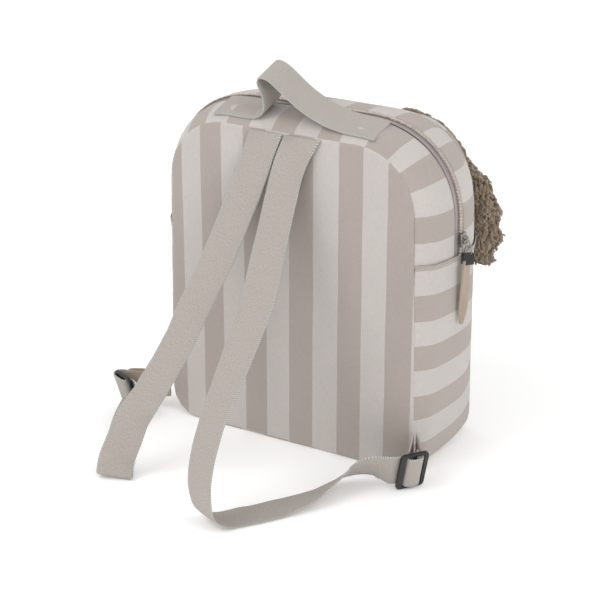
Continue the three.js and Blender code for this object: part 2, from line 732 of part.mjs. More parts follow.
// A strap as one ribbon, cut at a slant along its seam: its width follows the turn and tip of its rows,
// and nothing sinks into the table
function strap(name) {
  const side = sideOf(name);
  const direction = (turn, tip) => {
    const [a, b] = [degToRad(turn), degToRad(tip)];
    return at(Math.cos(b) * Math.cos(a), Math.cos(b) * Math.sin(a), Math.sin(b));
  };
  const back = -bodyDepth / 2 - seat - webbingPly / 2;
  const stops = strapRows[name].map((row) => ({
    point: at(row.across * baseWidth / 2, back - row.out * strapReach, row.up * bodyHeight),
    edge: direction(row.turn, row.tip),
    width: 1,
  }));
  const { centre, run, up, out } = adjusterPose(side);
  const standOff = adjusterPlate / 2 + webbingPly / 2 + 2 * seat;
  threadRows[name].forEach((row) => stops.push({
    point: centre.clone()
      .addScaledVector(run, row.along * adjusterWidth / 2)
      .addScaledVector(out, row.out * standOff),
    edge: up.clone().multiplyScalar(side),
    width: 1,
  }));
  const wing = wingLine(name);
  [{ f: 0.15, width: 0.9 }, { f: 0.4, width: strapGather }].forEach(({ f, width }) => stops.push({
    point: wing.end.clone().lerp(wing.root, f),
    edge: wing.up.clone().lerp(at(0, 0, 1), f).normalize().multiplyScalar(side),
    width,
  }));
  const line = new THREE.CatmullRomCurve3(stops.map((stop) => stop.point), false, 'centripetal');
  const perStop = 3;
  const count = perStop * (stops.length - 1);
  const grid = Array.from({ length: count + 1 }, (_, i) => {
    const stop = stops[Math.min(Math.floor(i / perStop), stops.length - 2)];
    const next = stops[stops.indexOf(stop) + 1];
    const f = i / perStop - stops.indexOf(stop);
    const along = line.getTangent(i / count);
    const edge = stop.edge.clone().lerp(next.edge, f).normalize();
    const slant = edge.dot(along);
    const squared = Math.min(i / perStop, 1);
    edge.addScaledVector(along, -squared * slant).normalize();
    const cut = Math.sqrt(1 - ((1 - squared) * slant) ** 2);
    const half = lerp(stop.width, next.width, f) * webbingWidth / 2 / cut;
    const point = line.getPoint(i / count);
    const flat = Math.hypot(edge.x, edge.y);
    point.z = Math.max(point.z, half * Math.abs(edge.z) + flat * webbingPly / 2);
    return [point.clone().addScaledVector(edge, -half), point.clone().addScaledVector(edge, half)];
  });
  return sheet(grid, webbingPly / 2, webbingPly / 2);
}

// A wing: a folded piece of cloth, open along its top, that takes the strap's end between its plies
function wing(name) {
  const { root, end, up } = wingLine(name);
  const { height, reach, splay } = wings[name];
  const fold = [
    { height: 1, side: 1 },
    { height: 0.4, side: 1 },
    { height: -0.4, side: 1 },
    { height: -0.9, side: 0.8 },
    { height: -1.14, side: 0 },
    { height: -0.9, side: -0.8 },
    { height: -0.4, side: -1 },
    { height: 0.4, side: -1 },
    { height: 1, side: -1 },
  ];
  const openRows = [
    { f: 0, open: 0.3 },
    { f: 0.25, open: 0.8 },
    { f: 0.4, open: 1.5 },
    { f: 0.7, open: 2 },
    { f: 1, open: 3 },
  ];
  const way = end.clone().sub(root).normalize();
  const aside = at(-way.y, way.x, 0).normalize();
  const rows = openRows.map(({ f, open }) => {
    const middle = root.clone().lerp(end, f * reach);
    const lift = at(0, 0, 1).lerp(up, f);
    lift.addScaledVector(way, -f * lift.dot(way)).normalize();
    const half = lerp(height, webbingWidth + 2 * seat, f) / 2;
    const gap = open * (webbingPly / 2 + seat) + wingPly / 2;
    return fold.map((turn) => middle.clone()
      .addScaledVector(lift, half * turn.height)
      .addScaledVector(aside, gap * turn.side + splay * f * Math.min(turn.side, 0)));
  });
  return sheet(rows, wingPly / 2, wingPly / 2);
}

// One ear: a flat rounded backing with curly locks joined to it
function ear(side) {
  const section = (down) => {
    const share = (name) => read(earRows, 'down', down, name);
    const b = (earThickness / 2) * share('thickness');
    return {
      x: side * (earRootX + earLean * share('lean')),
      y: bodyDepth / 2 + frontCrown * 0.4 + seat + b + earStand * share('stand'),
      z: earRootZ - earLength * down,
      a: (earWidth / 2) * share('width'),
      b,
    };
  };
  const rimPoint = (down, angle) => {
    const { x, y, z, a, b } = section(down);
    return at(x + side * a * Math.cos(angle), y + b * Math.sin(angle), z);
  };
  const sides = 12;
  const rings = earRows.map(({ down }) => (
    Array.from({ length: sides }, (_, k) => rimPoint(down, (2 * Math.PI * k) / sides))
  ));
  const [top, tip] = [section(0), section(earRows.at(-1).down)];
  const topPoint = at(top.x, top.y, top.z + lockLength * 0.3);
  const tipPoint = at(tip.x, tip.y, tip.z - lockLength * 0.3);
  let made = solid(loft(rings, topPoint, tipPoint));
  for (let row = 0; row < lockRows; row += 1) {
    for (let k = 0; k < locksAround; k += 1) {
      const down = lerp(0.1, 0.93, row / (lockRows - 1));
      const angle = (2 * Math.PI * (k + 0.5 * (row % 2))) / locksAround;
      const away = at(side * Math.cos(angle) * 0.6, Math.sin(angle), 0).normalize();
      const curl = Math.sin(7.3 * row + 2.1 * k);
      const reach = lockLength * lerp(0.75, 1, (1 + curl) / 2);
      made = made.add(solid(lock(rimPoint(down, angle), away, curl, reach)));
    }
  }
  return geometryOf(made);
}

// A lock of fleece: it stands off its root, then falls and curls to one side
function lock(base, away, curl, reach) {
  const aside = at(-away.y, away.x, 0);
  const rows = [
    { out: -0.3, fall: 0, girth: 0.9 },
    { out: 0.2, fall: 0.15, girth: 1 },
    { out: 0.3, fall: 0.7, girth: 0.7 },
  ];
  const place = (out, fall) => base.clone()
    .addScaledVector(away, out * reach)
    .addScaledVector(aside, 0.4 * fall * curl * reach)
    .add(at(0, 0, -fall * reach));
  const corners = 4;
  const rings = rows.map(({ out, fall, girth }) => Array.from({ length: corners }, (_, k) => {
    const angle = (2 * Math.PI * k) / corners + 0.3 * curl;
    const wide = lockGirth * girth * Math.cos(angle);
    const deep = lockGirth * 0.7 * girth * Math.sin(angle);
    return place(out, fall)
      .addScaledVector(aside, wide)
      .addScaledVector(away, deep * fall)
      .add(at(0, 0, deep));
  }));
  return loft(rings, place(-0.32, 0), place(0.2, 1.2));
}

add('back_panel', panel(0, -1, 0), looks.panel);
add('front_panel', panel(1, 1, frontCrown), looks.panel);
add('gusset_lower', lowerBand(), looks.band);
add('gusset_upper_back', upperBand(backDepths, 0, clothWall), looks.band);
add('gusset_upper_front', upperBand(depthsBetween(zipTo, 1, 6), 0, clothWall), looks.band);
addZip();
addRunner();
addPuller();
add('handle', handle(), looks.webbing);
add('strap_left', strap('left'), looks.webbing);
add('strap_right', strap('right'), looks.webbing);
addAdjuster('adjuster_left', -1);
addAdjuster('adjuster_right', 1);
add('corner_wing_left', wing('left'), looks.leather);
add('corner_wing_right', wing('right'), looks.panel);
add('ear_left', ear(-1), looks.fleece);
add('ear_right', ear(1), looks.fleece);

export default bag;
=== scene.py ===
"""A child's striped backpack with fleece ears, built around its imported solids. Metres, +Z up."""
import itertools
import math
import random

import bmesh
import bpy
import numpy as np
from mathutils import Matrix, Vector, noise
from mathutils.bvhtree import BVHTree


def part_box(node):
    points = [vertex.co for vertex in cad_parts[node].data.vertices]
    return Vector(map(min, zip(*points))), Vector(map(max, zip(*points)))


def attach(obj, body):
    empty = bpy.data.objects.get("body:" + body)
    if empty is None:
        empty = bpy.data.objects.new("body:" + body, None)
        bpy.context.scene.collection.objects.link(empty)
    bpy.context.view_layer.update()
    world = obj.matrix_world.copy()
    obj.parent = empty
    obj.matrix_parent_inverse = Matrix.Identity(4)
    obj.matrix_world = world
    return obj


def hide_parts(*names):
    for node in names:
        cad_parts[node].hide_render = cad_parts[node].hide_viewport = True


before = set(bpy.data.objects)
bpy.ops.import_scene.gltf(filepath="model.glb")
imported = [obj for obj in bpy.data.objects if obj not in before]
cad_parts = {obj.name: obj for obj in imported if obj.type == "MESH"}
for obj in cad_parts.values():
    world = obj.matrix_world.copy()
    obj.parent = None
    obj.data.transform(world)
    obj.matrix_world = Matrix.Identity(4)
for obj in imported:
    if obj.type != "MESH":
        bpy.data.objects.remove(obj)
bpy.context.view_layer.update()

MM = 0.001

# The camera, fitted to the photograph: where it stands, what it looks at, and its lens on its sensor, in mm
CAMERA_AT = (0.7190, -1.2799, 0.7302)
CAMERA_TARGET = (-0.0211, 0.0, 0.1186)
CAMERA_LENS = 102.25
CAMERA_SENSOR = 36

# The bag's outline
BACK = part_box("back_panel")
HEIGHT = BACK[1][2]
HALF_BASE = BACK[1][0]
HALF_TOP = 0.12325
TOP_RADIUS = 0.058
BASE_RADIUS = 0.028
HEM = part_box("gusset_lower")[1][2]
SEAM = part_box("gusset_lower")[1][1]

# The cloth: the spacing of its grids, how far from a solid it is dropped, and how near to that solid's edges
STEP = 3 * MM
REACH = 0.06
EDGE_MARGIN = 0.5 * MM
SMOOTHING = 8

# How a band's cloth turns in round its edges: the roll's radius, then shares of it outwards and inwards
BAND_ROLL = 1.8 * MM
BAND_TURN = [(0.45, 0.12), (0.85, 0.45), (1.0, 1.0), (0.9, 2.6)]

# The hem at the top of the lower band, and how far the upper bands tuck in behind it
HEM_DEPTH = 6.5 * MM
HEM_LIFT = 0.55 * MM
HEM_EASE = 0.5 * MM
TUCK = 3 * MM

# Creases: their height in mm, and how far from a seam they start
BAND_CREASE = 0.55
PANEL_CREASE = 0.5
CREASE_MARGIN = 8 * MM

# The panels: their rings, in mm inside the seam, and how their edges roll in
PANEL_INSETS = (0.2, 0.5, 1.0, 1.8, 3, 5, 8, 11, 15, 19, 24, 30, 37, 45, 54, 64, 75, 87, 99, 109, 117)
PANEL_BORDER = 8
PANEL_REACH = 110
PANEL_CREASE_MARGIN = 10
PANEL_ROLL = 2.8
PANEL_ROLL_DEPTH = 2.1 * MM
PANEL_PLY = 1.8 * MM
RIM_DEPTH = 2.5 * MM
RIM_SHRINK = 0.008
PROBE_FROM = 0.2

# Where each stripe starts. Every list begins with a beige stripe, and the colours alternate.
# The panels' run along X. The bands' run along the cloth, as outline() measures it. The beige stripe round
# the base's corner is in two parts, with an empty white one between them.
PANEL_STRIPES = (-0.135, -0.111, -0.091, -0.069, -0.046, -0.023, 0.001, 0.0255, 0.051, 0.0745, 0.0985,
                 0.1245, 0.15)
LOWER_STRIPES = (-0.114, -0.09, -0.066, -0.042, -0.018, 0.006, 0.006, 0.03, 0.054, 0.077, 0.1015, 0.125,
                 0.148, 0.1725, 0.1955, 0.22)
UPPER_STRIPES = (0.18, 0.2, 0.22, 0.2438, 0.2655, 0.2846, 0.2997, 0.3234, 0.3479, 0.3699, 0.3931, 0.4158,
                 0.4389, 0.4621, 0.485, 0.507, 0.529, 0.551, 0.575, 0.6)

# The zip: its tape's grid, then its teeth's spacing, half sizes (along it, across it, outwards) and place
TAPE_STEP = 1.2 * MM
TOOTH_STEP = 1.5 * MM
TOOTH = (0.5 * MM, 2.1 * MM, 1.0 * MM)
TOOTH_RISE = 1.3 * MM
TOOTH_ASIDE = 0.75 * MM

# Webbing, and the stitches by their spacing, half length and half girth
PLY = 1.6 * MM
WEBBING_STEP = 1.6 * MM
RIPPLE = 0.25 * MM
WAVINESS = 0.35 * MM
FLOOR_GAP = 0.1 * MM
STITCH_STEP = 3.6 * MM
STITCH = (1.3 * MM, 0.28 * MM)
STITCH_ROW = 4.4 * MM
STITCH_RISE = 0.15 * MM

# The zip's cloth tab: its ply, how far it twists, how its plies open, and how it leans as it hangs
TAB_PLY = 1.0 * MM
TAB_TURN = math.radians(38)
TAB_OPENING = 0.3
TAB_APART = 0.65 * MM
TAB_INWARD = (1.2 * MM, 2.2 * MM)
TAB_BACKWARD = 1.6 * MM

# Hard trim
WELD = 0.002 * MM
BEVEL_ANGLE = math.radians(35)

# The ears: the backing's remesh, smoothing, inset and stuffing, and the fleece's locks
VOXEL = 4.5 * MM
EASE_ROUNDS = 22
CORE_INSET = 3.2 * MM
STUFFING_PRESSURE = 3.0
STUFFING_CAP = 3 * MM
STUFFING_FRAMES = 16
LOCK_SPACING = 2.75 * MM
LOCK_LENGTH = (7 * MM, 10.5 * MM)
LOCK_GIRTH = 1.95 * MM
LOCK_TIP = 0.15 * MM
LOCK_WAVE = 1.1 * MM
LOCK_ROOT = 1.0 * MM
LOCK_STEPS = 7
LOCK_SIDES = 4

# The stretch of the outline in which each ear's top edge shows over the seam, by side, and its row of locks
EAR_SEAMS = {-1: (0.308, 0.335), 1: (0.272, 0.345)}
SEAM_LOCK_SPACING = 2.2 * MM
SEAM_LOCK_OFFSET = 2.4 * MM

# The studio: half the floor's size, and each lamp's name, place, size and power
FLOOR_HALF = 8
LAMP_TARGET = (0, 0, 0.12)
LAMPS = (("key", (-1.6, -2.2, 2.6), 2.2, 38), ("side", (2.6, -0.6, 1.8), 1.6, 20))
WORLD_STRENGTH = 0.9

BEIGE = (0.452, 0.391, 0.356)
OFF_WHITE = (0.607, 0.563, 0.536)
WING_CLOTH = (0.56, 0.50, 0.475)
TAN = (0.47, 0.375, 0.29)
COIL = (0.60, 0.51, 0.45)
METAL = (0.27, 0.26, 0.235)
BLACK = (0.011, 0.011, 0.012)
THREAD = (0.62, 0.57, 0.53)
FLOOR = (0.96, 0.96, 0.96)


# Materials

class Look:
    """A Principled material with helpers for its nodes. Uniform values go on the shader's own sockets."""

    def __init__(self, name, color=(0.8, 0.8, 0.8), **sockets):
        self.material = bpy.data.materials.new(name)
        self.material.use_nodes = True
        self.nodes = self.material.node_tree.nodes
        self.links = self.material.node_tree.links
        self.shader = self.nodes["Principled BSDF"]
        self.shader.inputs["Base Color"].default_value = (*color, 1)
        for key, value in sockets.items():
            self.shader.inputs[key.replace("_", " ").title()].default_value = value

    def add(self, kind, inputs=(), **settings):
        node = self.nodes.new(kind)
        for key, value in settings.items():
            setattr(node, key, value)
        for key, value in dict(inputs).items():
            if isinstance(value, bpy.types.NodeSocket):
                self.links.new(value, node.inputs[key])
            else:
                node.inputs[key].default_value = value
        return node

    def math(self, operation, *values):
        return self.add("ShaderNodeMath", enumerate(values), operation=operation).outputs[0]

    def uv(self, layer):
        """The two coordinates of a UV layer."""
        source = self.add("ShaderNodeUVMap", uv_map=layer).outputs[0]
        out = self.add("ShaderNodeSeparateXYZ", {0: source}).outputs
        return out[0], out[1]

    def place(self):
        """The place on the object, in mm."""
        where = self.add("ShaderNodeTexCoord").outputs["Object"]
        return self.add("ShaderNodeVectorMath", {0: where, 3: 1000.0}, operation="SCALE").outputs[0]

    def point(self, x, y):
        return self.add("ShaderNodeCombineXYZ", {0: x, 1: y}).outputs[0]

    def noise(self, vector, scale, detail=2.0, roughness=0.5):
        return self.add("ShaderNodeTexNoise", {"Vector": vector, "Scale": scale, "Detail": detail,
                                               "Roughness": roughness}).outputs[0]

    def ramp(self, value, *stops):
        node = self.add("ShaderNodeValToRGB", {0: value})
        elements = node.color_ramp.elements
        while len(elements) < len(stops):
            elements.new(0.5)
        for element, (place, color) in zip(elements, stops):
            element.position = place
            element.color = (*color, 1)
        return node.outputs[0]

    def mix(self, factor, a, b, blend="MIX"):
        node = self.add("ShaderNodeMix", {"Factor": factor}, data_type="RGBA", blend_type=blend)
        for socket, value in ((node.inputs[6], a), (node.inputs[7], b)):
            if isinstance(value, bpy.types.NodeSocket):
                self.links.new(value, socket)
            else:
                socket.default_value = (*value, 1)
        return node.outputs[2]

    def color(self, socket):
        self.links.new(socket, self.shader.inputs["Base Color"])

    def bump(self, height, distance):
        node = self.add("ShaderNodeBump", {"Height": height, "Distance": distance, "Strength": 1.0})
        self.links.new(node.outputs[0], self.shader.inputs["Normal"])


def weave(look, u, v, pitch):
    """A plain weave's height, from two coordinates in mm."""
    over = look.math("SINE", look.math("MULTIPLY", u, 2 * math.pi / pitch))
    under = look.math("SINE", look.math("MULTIPLY", v, 2 * math.pi / pitch))
    return look.math("MULTIPLY", over, under)


def yarns(look, u, v, along, across):
    """Uneven yarn, drawn out along u: a tone around one half."""
    drawn = look.point(look.math("MULTIPLY", u, along), look.math("MULTIPLY", v, across))
    return look.noise(drawn, 1.0, 3.0, 0.6)


def cloth_tone(look, color, u, v):
    """A cloth colour with the unevenness of its two sets of yarn and a little broad variation."""
    warp, weft = yarns(look, u, v, 0.16, 1.9), yarns(look, v, u, 0.16, 1.9)
    fine = look.math("ADD", look.math("MULTIPLY", warp, 0.5), look.math("MULTIPLY", weft, 0.5))
    broad = look.noise(look.point(u, v), 0.02, 2.0)
    shade = look.math("ADD", look.math("MULTIPLY", fine, 0.55), look.math("MULTIPLY", broad, 0.1))
    tone = look.ramp(shade, (0.2, (0.86, 0.86, 0.86)), (0.5, (1.13, 1.125, 1.12)))
    return look.mix(1.0, color, tone, "MULTIPLY")


def striped_cloth():
    """Beige and off-white stripes, by the whole part of the stripe index in the UV layer "stripes"."""
    look = Look("striped_cloth", roughness=0.9, sheen_weight=0.25, sheen_roughness=0.5)
    u, v = look.uv("weave")
    stripe = look.uv("stripes")[0]
    ragged = look.math("SUBTRACT", look.noise(look.point(u, v), 1.3, 2.0), 0.5)
    fuzz = look.math("MULTIPLY", ragged, 0.03)
    phase = look.math("FRACT", look.math("MULTIPLY", look.math("ADD", stripe, fuzz), 0.5))
    white = look.math("GREATER_THAN", phase, 0.5)
    base = look.mix(white, BEIGE, OFF_WHITE)
    look.color(cloth_tone(look, base, u, v))
    look.bump(look.math("ADD", weave(look, u, v, 0.62), yarns(look, u, v, 0.3, 2.4)), 0.12 * MM)
    return look.material


def plain_cloth(name, color):
    look = Look(name, roughness=0.9, sheen_weight=0.25, sheen_roughness=0.5)
    x, y, z = look.add("ShaderNodeSeparateXYZ", {0: look.place()}).outputs[:3]
    u = look.math("ADD", x, y)
    look.color(cloth_tone(look, color, u, z))
    look.bump(look.math("ADD", weave(look, u, z, 0.62), yarns(look, u, z, 0.3, 2.4)), 0.12 * MM)
    return look.material


def webbing():
    """Flecked webbing with a dotted selvage, from its length and width in mm."""
    look = Look("webbing", roughness=0.92, sheen_weight=0.2, sheen_roughness=0.5)
    u, v = look.uv("weave")
    flecks = yarns(look, u, v, 0.55, 2.1)
    specks = look.noise(look.point(u, v), 1.6, 2.0, 0.7)
    tone = look.math("ADD", look.math("MULTIPLY", flecks, 0.6), look.math("MULTIPLY", specks, 0.4))
    base = look.ramp(tone, (0.36, (0.33, 0.285, 0.245)), (0.5, (0.475, 0.425, 0.385)),
                     (0.64, (0.60, 0.56, 0.52)))
    edge = look.math("GREATER_THAN", look.math("ABSOLUTE", v), 14.7)
    dots = look.math("SINE", look.math("MULTIPLY", u, 2 * math.pi / 1.9))
    selvage = look.ramp(look.math("ADD", look.math("MULTIPLY", dots, 0.5), 0.5),
                        (0.25, (0.30, 0.31, 0.28)), (0.75, (0.60, 0.61, 0.57)))
    look.color(look.mix(look.math("MULTIPLY", edge, 0.85), base, selvage))
    rib = look.math("SINE", look.math("ADD", look.math("MULTIPLY", v, 2 * math.pi / 1.3),
                                      look.math("MULTIPLY", u, 2 * math.pi / 3.1)))
    look.bump(look.math("ADD", rib, weave(look, u, v, 0.9)), 0.16 * MM)
    return look.material


def zip_tape():
    """Ribbed tape from its length and width in mm, with painted shade darkening its borders where the bands'
    turned edges meet it.
    """
    look = Look("zip_tape", roughness=0.8, sheen_weight=0.2)
    u, v = look.uv("weave")
    ribs = look.math("SINE", look.math("MULTIPLY", u, 2 * math.pi / 1.25))
    cords = look.math("SINE", look.math("MULTIPLY", v, 2 * math.pi / 1.9))
    # The borders are darkened: painted shade in the gap between the tape and the bands' turned edges.
    rim = look.math("GREATER_THAN", look.math("ABSOLUTE", v), 5.9)
    tone = look.math("ADD", look.math("MULTIPLY", look.math("MULTIPLY", ribs, cords), 0.25), 0.5)
    base = look.ramp(tone, (0.3, (0.27, 0.225, 0.23)), (0.7, (0.44, 0.385, 0.385)))
    look.color(look.mix(look.math("MULTIPLY", rim, 0.75), base, (0.15, 0.115, 0.11)))
    look.bump(look.math("ADD", ribs, cords), 0.15 * MM)
    return look.material


def moulded(name, color, roughness, grain, **sockets):
    """Moulded plastic or plated metal, with a fine grain and a little unevenness."""
    look = Look(name, color, **sockets)
    where = look.place()
    uneven = look.noise(where, 0.35, 3.0)
    rough = look.add("ShaderNodeMapRange", {0: uneven, 3: roughness - 0.08, 4: roughness + 0.1}).outputs[0]
    look.links.new(rough, look.shader.inputs["Roughness"])
    dark = tuple(0.75 * c for c in color)
    light = tuple(min(1.25 * c, 1) for c in color)
    look.color(look.ramp(uneven, (0.35, dark), (0.65, light)))
    look.bump(look.noise(where, 4.0, 2.0), grain)
    return look.material


def fleece():
    """Fleece: each lock has its own tone, and is darkest at its root, a painted shade deep among the locks.
    """
    look = Look("fleece", roughness=0.95, sheen_weight=0.35, sheen_roughness=0.6)
    own, tip = look.uv("weave")
    # Darker towards each lock's root: painted shade where the locks crowd over one another.
    shade = look.ramp(tip, (0.0, (0.12, 0.082, 0.05)), (0.35, (0.2, 0.145, 0.094)),
                      (0.8, (0.265, 0.195, 0.128)), (1.0, (0.31, 0.235, 0.158)))
    tone = look.ramp(own, (0.0, (0.78, 0.77, 0.76)), (1.0, (1.2, 1.18, 1.15)))
    look.color(look.mix(1.0, shade, tone, "MULTIPLY"))
    look.bump(look.noise(look.place(), 2.6, 3.0), 0.3 * MM)
    return look.material


def thread():
    look = Look("thread", roughness=0.7, sheen_weight=0.2)
    ply = look.noise(look.place(), 3.0, 2.0)
    look.color(look.ramp(ply, (0.35, tuple(0.8 * c for c in THREAD)), (0.65, THREAD)))
    look.bump(ply, 0.1 * MM)
    return look.material


LOOKS = {
    "striped_cloth": striped_cloth(),
    "wing_cloth": plain_cloth("wing_cloth", WING_CLOTH),
    "tan_cloth": plain_cloth("tan_cloth", TAN),
    "webbing": webbing(),
    "zip_tape": zip_tape(),
    "zip_coil": moulded("zip_coil", COIL, 0.45, 0.02 * MM),
    "runner_metal": moulded("runner_metal", METAL, 0.26, 0.02 * MM, metallic=1.0),
    "black_plastic": moulded("black_plastic", BLACK, 0.38, 0.04 * MM),
    "fleece": fleece(),
    "thread": thread(),
}


# Meshes

def dress(name, mesh, look, replaced=()):
    """A new piece of the object: it rides on the bag and may stand for CAD nodes."""
    piece = bpy.data.objects.new(name, mesh)
    bpy.context.scene.collection.objects.link(piece)
    mesh.materials.clear()
    mesh.materials.append(LOOKS[look])
    mesh.polygons.foreach_set("use_smooth", [True] * len(mesh.polygons))
    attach(piece, "root")
    if replaced:
        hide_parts(*replaced)
    return piece


def mesh_from(name, points, faces, layers=()):
    """A mesh, with UV layers given as one pair for each point."""
    mesh = bpy.data.meshes.new(name)
    mesh.from_pydata([tuple(p) for p in points], [], faces)
    corners = np.empty(len(mesh.loops), dtype=np.int32)
    mesh.loops.foreach_get("vertex_index", corners)
    for layer, values in dict(layers).items():
        mesh.uv_layers.new(name=layer).data.foreach_set("uv", np.asarray(values)[corners].ravel())
    return mesh


def grid_faces(rows, columns, around=False, start=0):
    """Quads over a grid of points. around closes each row into a ring."""
    spans = columns if around else columns - 1
    faces = []
    for i in range(rows - 1):
        for k in range(spans):
            a, b = start + i * columns + k, start + i * columns + (k + 1) % columns
            faces.append((a, b, b + columns, a + columns))
    return faces


def tree_of(node):
    """A search tree over a CAD node, for dropping points onto it."""
    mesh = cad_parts[node].data
    points = [v.co.copy() for v in mesh.vertices]
    return BVHTree.FromPolygons(points, [list(p.vertices) for p in mesh.polygons])


def smoothed(grid):
    """Rounds off a grid's facets. Its ends stay, and its long edges ease only along themselves."""
    grid = grid.copy()
    for _ in range(SMOOTHING):
        inner = grid[1:-1, 1:-1]
        around = (grid[:-2, 1:-1] + grid[2:, 1:-1] + grid[1:-1, :-2] + grid[1:-1, 2:]) / 4
        grid[1:-1, 1:-1] = (inner + around) / 2
        for k in (0, -1):
            grid[1:-1, k] = (2 * grid[1:-1, k] + grid[:-2, k] + grid[2:, k]) / 4
    return grid


def normals_of(grid):
    """The way out of a grid of points, at each of them."""
    along = np.gradient(grid, axis=0)
    across = np.gradient(grid, axis=1)
    out = np.cross(along, across)
    return out / np.maximum(np.linalg.norm(out, axis=2, keepdims=True), 1e-12)


def spaced(start, end, step):
    """Even places from start to end, about a step apart."""
    return np.linspace(start, end, max(int(round(abs(end - start) / step)), 2) + 1)


def lengths_along(points):
    """How far along a line of points each of them is."""
    return np.concatenate([[0], np.cumsum(np.linalg.norm(np.diff(points, axis=0), axis=1))])


def line_through(points, step):
    """Even steps along a line of points, with the way along at each."""
    lengths = lengths_along(points)
    at = spaced(0, lengths[-1], step)
    line = np.stack([np.interp(at, lengths, points[:, k]) for k in range(3)], 1)
    way = np.gradient(line, axis=0)
    return line, way / np.linalg.norm(way, axis=1, keepdims=True)


BAR_SIDES = 6


def add_bar(points, faces, centre, along, side, up, rings):
    """Adds a small rounded bar. Each ring has its share of the bar's half length, its girth and its rise."""
    start = len(points)
    for reach, girth, rise in rings:
        for a in np.linspace(0, 2 * math.pi, BAR_SIDES, endpoint=False):
            points.append(centre + along * reach + (side * math.cos(a) + up * (math.sin(a) + rise)) * girth)
    faces += grid_faces(len(rings), BAR_SIDES, around=True, start=start)
    last = len(points) - 1
    faces += [tuple(start + i for i in range(BAR_SIDES)), tuple(last - i for i in range(BAR_SIDES))]


# The bag's cloth

TOP_CENTRE = (HALF_TOP - TOP_RADIUS, HEIGHT - TOP_RADIUS)
BASE_CENTRE = (HALF_BASE - BASE_RADIUS, BASE_RADIUS)
TOP_START = TOP_CENTRE[1]
TOP_MIDDLE = TOP_START + TOP_RADIUS * math.pi / 2 + TOP_CENTRE[0]
BASE_START = BASE_RADIUS - BASE_RADIUS * math.pi / 2
BASE_MIDDLE = BASE_START - BASE_CENTRE[0]


def outline(s):
    """A place on the bag's outline, and the way out of it. s runs along the cloth. On the +X side's straight
    stretch it is the height. It goes on over the top and down the other side past TOP_MIDDLE, and below
    BASE_RADIUS it goes round the lower corner and under the base."""
    if s > TOP_MIDDLE:
        x, z, dx, dz = outline(2 * TOP_MIDDLE - s)
        return -x, z, -dx, dz
    if s < BASE_START:
        return BASE_CENTRE[0] - (BASE_START - s), 0.0, 0.0, -1.0
    if s < BASE_RADIUS:
        angle = (s - BASE_RADIUS) / BASE_RADIUS
        dx, dz = math.cos(angle), math.sin(angle)
        return BASE_CENTRE[0] + BASE_RADIUS * dx, BASE_CENTRE[1] + BASE_RADIUS * dz, dx, dz
    if s < TOP_START:
        f = (s - BASE_RADIUS) / (TOP_START - BASE_RADIUS)
        return HALF_BASE + (HALF_TOP - HALF_BASE) * f, s, 1.0, 0.0
    angle = min((s - TOP_START) / TOP_RADIUS, math.pi / 2)
    past = max(s - TOP_START - TOP_RADIUS * math.pi / 2, 0)
    dx, dz = math.cos(angle), math.sin(angle)
    return TOP_CENTRE[0] - past + TOP_RADIUS * dx, TOP_CENTRE[1] + TOP_RADIUS * dz, dx, dz


def on_band(tree, s, y, low, high, ends, mirror=1):
    """The cloth of a side band, found on its CAD solid from outside, just within its edges and ends."""
    looked = min(max(s, min(ends) + 2 * EDGE_MARGIN), max(ends) - 2 * EDGE_MARGIN)
    x, z, dx, dz = outline(looked)
    rise = outline(s)[1] - z
    x, dx = mirror * x, mirror * dx
    within = min(max(y, low + EDGE_MARGIN), high - EDGE_MARGIN)
    start = Vector((x + REACH * dx, within, z + REACH * dz))
    hit = tree.ray_cast(start, Vector((-dx, 0, -dz)), 1.2 * REACH)[0]
    hit = hit or tree.find_nearest(Vector((x + REACH / 3 * dx, within, z + REACH / 3 * dz)))[0]
    return (hit.x, y, hit.z + rise)


def folded(grid):
    """Adds columns to both sides of a grid, so that its cloth turns in round each edge."""
    out = normals_of(grid)
    for first, edge, beside in ((True, 0, 1), (False, -1, -2)):
        rim = grid[:, edge]
        away = rim - grid[:, beside]
        away = away / np.linalg.norm(away, axis=1, keepdims=True)
        turned = [rim + away * BAND_ROLL * a - out[:, edge] * BAND_ROLL * b for a, b in BAND_TURN]
        added = np.stack(turned[::-1] if first else turned, axis=1)
        grid = np.concatenate([added, grid] if first else [grid, added], axis=1)
    return grid


def crease(s, y, strength):
    """The height of small uneven folds in the cloth, in metres, from a strength in mm."""
    broad = noise.noise(Vector((s * 14, y * 22, 3.1)))
    fine = noise.noise(Vector((s * 55, y * 30, 7.7)))
    return strength * (1.3 * broad + 0.35 * fine) * MM


def band(name, node, places, ys, stripes, ends, mirror=1, hem=False):
    """A side band's cloth, dropped onto its solid, smoothed, creased and with its long edges turned in.
    It gives the mesh, and the cloth between the turned edges with its places."""
    tree = tree_of(node)
    rows = [[on_band(tree, s, y, ys[0], ys[-1], ends, mirror) for y in ys] for s in places]
    grid = smoothed(np.array(rows))
    out = normals_of(grid)
    middle = (len(places) // 2, len(ys) // 2)
    if out[middle] @ (grid[middle] - [0, grid[middle][1], HEIGHT / 2]) < 0:
        grid, places = grid[::-1], places[::-1]
        out = normals_of(grid)
    from_edge = np.minimum(ys - ys[0], ys[-1] - ys) / CREASE_MARGIN
    for i, s in enumerate(places):
        for k, y in enumerate(ys):
            height = crease(s, y, BAND_CREASE) * min(from_edge[k], 1)
            if hem and abs(s - HEM) < 2 * HEM_DEPTH:
                height += HEM_LIFT / (1 + math.exp((HEM - HEM_DEPTH - s) / HEM_EASE))
            grid[i, k] += out[i, k] * height
    whole = folded(grid)
    widths = np.pad(ys, len(BAND_TURN), mode="edge")
    uv_s, uv_y = np.meshgrid(places / MM, widths / MM, indexing="ij")
    stripe = np.repeat(np.interp(places, stripes, np.arange(len(stripes)))[:, None], len(widths), axis=1)
    mesh = mesh_from(name, whole.reshape(-1, 3), grid_faces(*whole.shape[:2]), {
        "weave": np.stack([uv_s.ravel(), uv_y.ravel()], 1),
        "stripes": np.stack([stripe.ravel(), uv_y.ravel()], 1),
    })
    return mesh, grid, places


